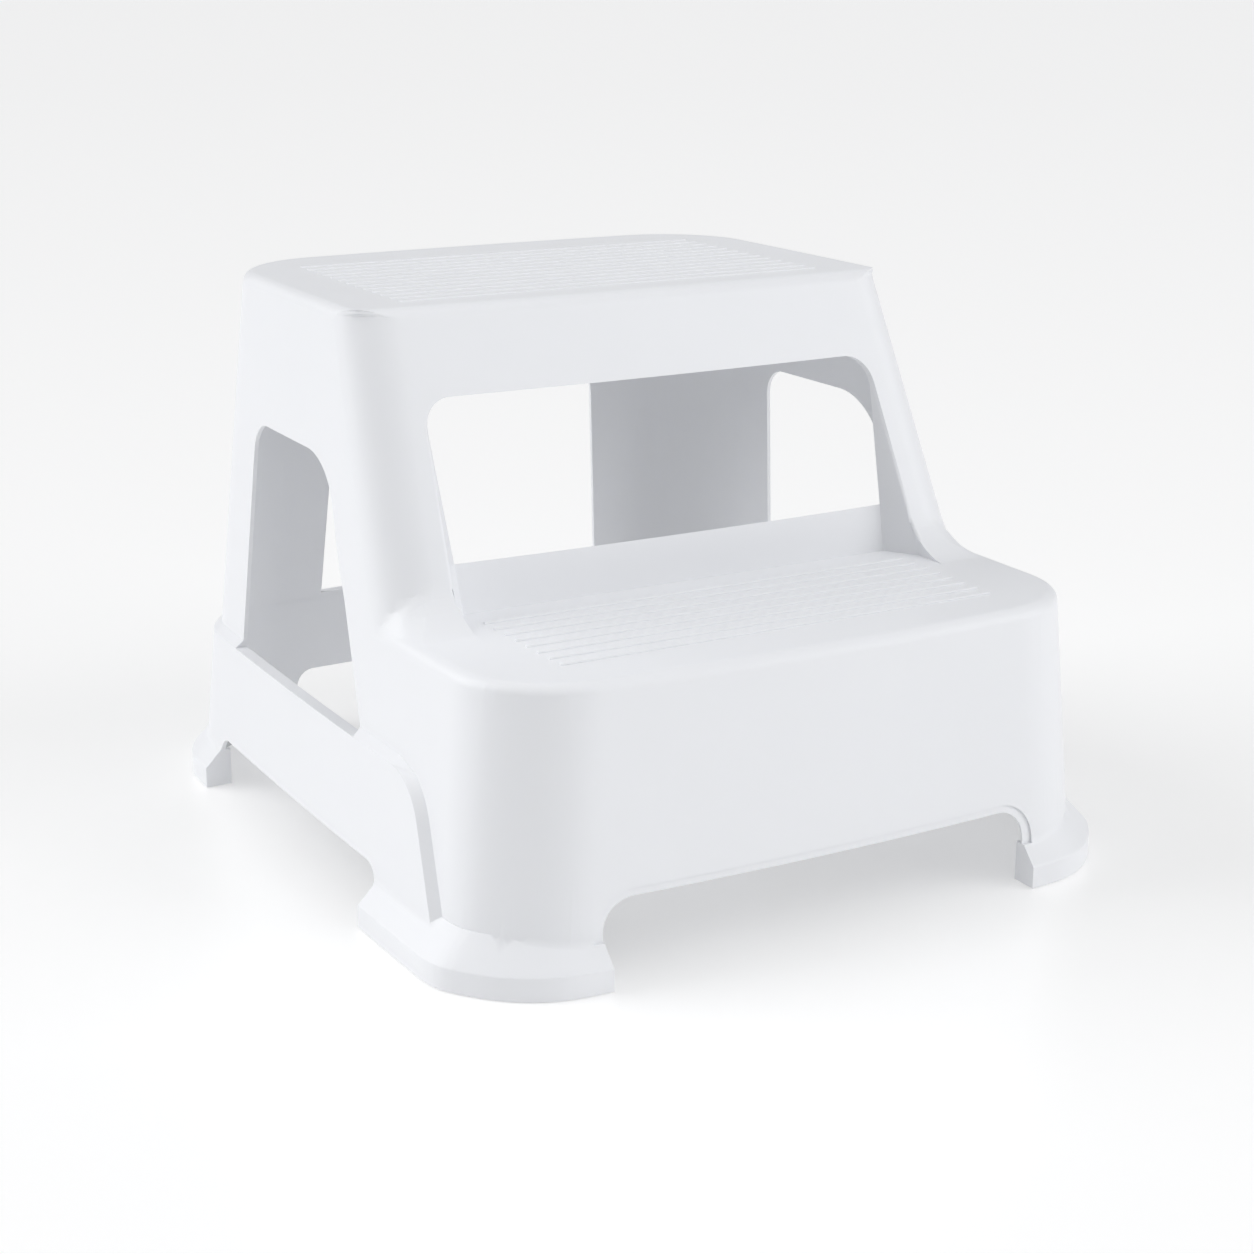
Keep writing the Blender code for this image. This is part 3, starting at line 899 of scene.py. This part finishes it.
def add_noise(tree, scale, detail, roughness=0.5):
    """A noise on the piece's own coordinates."""
    place = tree.nodes.new("ShaderNodeTexCoord")
    noise = tree.nodes.new("ShaderNodeTexNoise")
    noise.inputs["Scale"].default_value = scale
    noise.inputs["Detail"].default_value = detail
    noise.inputs["Roughness"].default_value = roughness
    tree.links.new(place.outputs["Object"], noise.inputs["Vector"])
    return noise


def ramp(tree, source, low, high):
    """Maps 0..1 onto low..high."""
    node = tree.nodes.new("ShaderNodeMapRange")
    node.inputs["To Min"].default_value = low
    node.inputs["To Max"].default_value = high
    tree.links.new(source, node.inputs["Value"])
    return node


def moulded_plastic():
    """Satin white plastic: a fine moulded grain, faint flow mottling, slight translucency."""
    colour = looks().plastic
    material, tree, shader = new_material("white_plastic", colour, looks().roughness)
    shader.inputs["IOR"].default_value = 1.49
    shader.inputs["Subsurface Weight"].default_value = 0.06
    shader.inputs["Subsurface Radius"].default_value = (0.004, 0.004, 0.0035)
    shader.inputs["Subsurface Scale"].default_value = 1.0

    mottling = add_noise(tree, 9.0, 3.0)
    tint = tree.nodes.new("ShaderNodeMix")
    tint.data_type = "RGBA"
    tint.inputs["A"].default_value = (*[0.985 * part for part in colour], 1.0)
    tint.inputs["B"].default_value = (*[min(1.0, 1.012 * part) for part in colour], 1.0)
    tree.links.new(mottling.outputs["Fac"], tint.inputs["Factor"])
    tree.links.new(tint.outputs["Result"], shader.inputs["Base Color"])

    wear = add_noise(tree, 38.0, 4.0, 0.6)
    base = looks().roughness
    sheen = ramp(tree, wear.outputs["Fac"], base - 0.05, base + 0.06)
    tree.links.new(sheen.outputs["Result"], shader.inputs["Roughness"])

    grain = add_noise(tree, 1500.0, 2.0)
    waves = add_noise(tree, 22.0, 1.0)
    coarse = tree.nodes.new("ShaderNodeBump")
    coarse.inputs["Strength"].default_value = 0.06
    coarse.inputs["Distance"].default_value = 0.0008
    tree.links.new(waves.outputs["Fac"], coarse.inputs["Height"])
    fine = tree.nodes.new("ShaderNodeBump")
    fine.inputs["Strength"].default_value = 0.05
    fine.inputs["Distance"].default_value = 0.00008
    tree.links.new(grain.outputs["Fac"], fine.inputs["Height"])
    tree.links.new(coarse.outputs["Normal"], fine.inputs["Normal"])
    tree.links.new(fine.outputs["Normal"], shader.inputs["Normal"])
    return material


def pad_rubber():
    """Soft matt rubber with a fine grain."""
    material, tree, shader = new_material("pad_rubber", looks().rubber, 0.75)
    grain = add_noise(tree, 900.0, 3.0)
    bump = tree.nodes.new("ShaderNodeBump")
    bump.inputs["Strength"].default_value = 0.25
    bump.inputs["Distance"].default_value = 0.0002
    tree.links.new(grain.outputs["Fac"], bump.inputs["Height"])
    tree.links.new(bump.outputs["Normal"], shader.inputs["Normal"])
    patches = add_noise(tree, 60.0, 3.0)
    rough = ramp(tree, patches.outputs["Fac"], 0.68, 0.82)
    tree.links.new(rough.outputs["Result"], shader.inputs["Roughness"])
    return material


def studio_floor():
    """Pale and slightly glowing, so that it stays light in the stool's shadow."""
    material, _, shader = new_material("studio_floor", looks().floor, 0.35)
    shader.inputs["Emission Color"].default_value = (1.0, 1.0, 1.0, 1.0)
    shader.inputs["Emission Strength"].default_value = FLOOR_GLOW
    return material


# ---------------------------------------------------------------- operators


def finish_piece(piece, material):
    """Gives a piece its material, smooth normals, body and material slot."""
    piece.data.materials.clear()
    piece.data.materials.append(material)
    select_only(piece)
    bpy.ops.object.shade_smooth_by_angle(angle=math.radians(40))
    weighted = piece.modifiers.new("weighted_normals", "WEIGHTED_NORMAL")
    weighted.keep_sharp = True
    weighted.weight = 60
    apply_all(piece)
    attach(piece, "root")


class OBJECT_OT_stool_shell(bpy.types.Operator):
    """Model the one-piece moulded shell: treads, legs, apron, feet, ribs and webs"""

    bl_idname = "object.stool_shell"
    bl_label = "Moulded shell"
    bl_options = {"REGISTER", "UNDO"}

    def execute(self, context):
        wall = sizes().wall
        shell = hull("stool_shell", 0.0, FLOOR_GAP)
        mark_ridges(shell)
        soften(shell, MOST_BEVEL, 6, weighted=True)
        hollow = hull("hollow", wall, HOLLOW_FLOOR_Z)
        combine(hollow, foot_webs(wall), "DIFFERENCE")
        combine(shell, hollow, "DIFFERENCE")
        for webs in tread_webs(wall):
            combine(shell, webs, "UNION")
        for cutter in (side_windows(), rear_window()):
            combine(shell, cutter, "DIFFERENCE")
        for cutter in arch_rims() + arches():
            combine(shell, cutter, "DIFFERENCE")
        merge_flat(shell)
        soften(shell, sizes().edge, 2)
        combine(shell, grip_ribs(), "UNION")
        merge_flat(shell)
        bow_walls(shell)
        triangulate(shell)
        finish_piece(shell, moulded_plastic())
        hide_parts("moulded_shell")
        return {"FINISHED"}


class OBJECT_OT_stool_pads(bpy.types.Operator):
    """Model the four rubber pads in the feet"""

    bl_idname = "object.stool_pads"
    bl_label = "Foot pads"
    bl_options = {"REGISTER", "UNDO"}

    def execute(self, context):
        material = pad_rubber()
        outside = sizes().wall + PAD_FIT
        for hand, end in FEET:
            side = -1 if hand == "left" else 1
            name = f"{end}_{hand}_pad"
            pad = flange_block(name, outside, HOLLOW_FLOOR_Z)
            core = flange_block(name + "_core", outside + PAD_WIDE, CUT_FLOOR_Z)
            combine(pad, core, "DIFFERENCE")
            arch_x = FRONT_ARCH_HALF if end == "front" else REAR_ARCH_HALF
            arch_y = SIDE_ARCH_FRONT_Y if end == "front" else SIDE_ARCH_BACK_Y
            xs = sorted((side * (arch_x + outside), side * PAST_PAD))
            ys = sorted(
                (arch_y + math.copysign(outside, arch_y), math.copysign(PAST_PAD, arch_y))
            )
            low, high = (xs[0], ys[0], 0.0), (xs[1], ys[1], PAD_TALL)
            corner = add_box(name + "_corner", low, high)
            combine(pad, corner, "INTERSECT")
            merge_flat(pad)
            soften(pad, PAD_ROUNDING, 2)
            bow_walls(pad)
            triangulate(pad)
            finish_piece(pad, material)
            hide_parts(f"{end}_{hand}_foot_pad")
        return {"FINISHED"}


# The camera's place, turns and lens.
CAMERA_PLACE = (-0.8284, -1.4466, 0.6398)
CAMERA_YAW = math.radians(-30.07)
CAMERA_PITCH = math.radians(-16.80)
CAMERA_ROLL = math.radians(0.32)
LENS = 67.66

# The sky's strength, and each soft lamp's place, spread in degrees and strength.
SKY_STRENGTH = 0.26
LAMPS = (
    ("left_lamp", (-2.3, 1.8, 1.8), 50.0, 1.62),
    ("right_lamp", (2.3, -1.9, 1.25), 50.0, 1.30),
    ("overhead_lamp", (-0.3, -0.6, 3.0), 80.0, 1.10),
)
FLOOR_GLOW = 0.30


def aim(place, target):
    """The rotation of a lamp at place that points it at target."""
    return (Vector(target) - Vector(place)).to_track_quat("-Z", "Y").to_euler()


class OBJECT_OT_stool_stage(bpy.types.Operator):
    """Add the camera, a pale floor and soft studio lights"""

    bl_idname = "object.stool_stage"
    bl_label = "Studio stage"
    bl_options = {"REGISTER", "UNDO"}

    def execute(self, context):
        scene = context.scene
        camera = bpy.data.objects.new("camera", bpy.data.cameras.new("camera"))
        scene.collection.objects.link(camera)
        camera.data.lens = LENS
        camera.data.sensor_width = 36.0
        camera.data.clip_end = 60.0
        level = Euler((math.radians(90) + CAMERA_PITCH, 0.0, CAMERA_YAW), "XYZ").to_matrix()
        roll = Matrix.Rotation(CAMERA_ROLL, 3, "Z")
        camera.matrix_world = (level @ roll).to_4x4()
        camera.location = CAMERA_PLACE
        scene.camera = camera

        deselect()
        bpy.ops.mesh.primitive_plane_add(size=40.0, location=(0, 0, -0.0002))
        floor = context.active_object
        floor.name = "studio_floor"
        bpy.ops.object.transform_apply(location=True, rotation=True, scale=True)
        floor.data.materials.append(studio_floor())

        world = bpy.data.worlds.new("studio")
        world.use_nodes = True
        background = world.node_tree.nodes["Background"]
        background.inputs["Color"].default_value = (0.97, 0.98, 1.0, 1.0)
        background.inputs["Strength"].default_value = SKY_STRENGTH
        scene.world = world
        scene.view_settings.view_transform = "Standard"

        for name, place, spread, strength in LAMPS:
            light = bpy.data.lights.new(name, "SUN")
            light.angle = math.radians(spread)
            light.energy = strength
            lamp = bpy.data.objects.new(name, light)
            scene.collection.objects.link(lamp)
            lamp.location = place
            lamp.rotation_euler = aim(place, (0.0, 0.0, 0.15))
        return {"FINISHED"}


class VIEW3D_PT_stool(bpy.types.Panel):
    """Lists the stool's sizes, colours and build steps"""

    bl_idname = "VIEW3D_PT_stool"
    bl_label = "Step stool"
    bl_space_type = "VIEW_3D"
    bl_region_type = "UI"
    bl_category = "Step stool"

    def draw(self, context):
        layout = self.layout
        for group in (context.scene.stool_sizes, context.scene.stool_looks):
            column = layout.column()
            for name in group.__annotations__:
                column.prop(group, name)
        for operator in OPERATORS:
            layout.operator(operator.bl_idname)


OPERATORS = (OBJECT_OT_stool_stage, OBJECT_OT_stool_shell, OBJECT_OT_stool_pads)
CLASSES = (StoolSizes, StoolLooks, *OPERATORS, VIEW3D_PT_stool)


def register():
    for item in CLASSES:
        bpy.utils.register_class(item)
    bpy.types.Scene.stool_sizes = PointerProperty(type=StoolSizes)
    bpy.types.Scene.stool_looks = PointerProperty(type=StoolLooks)


def unregister():
    del bpy.types.Scene.stool_looks
    del bpy.types.Scene.stool_sizes
    for item in reversed(CLASSES):
        bpy.utils.unregister_class(item)


def main():
    register()
    bpy.ops.object.stool_stage()
    bpy.ops.object.stool_shell()
    bpy.ops.object.stool_pads()


if __name__ == "__main__":
    main()
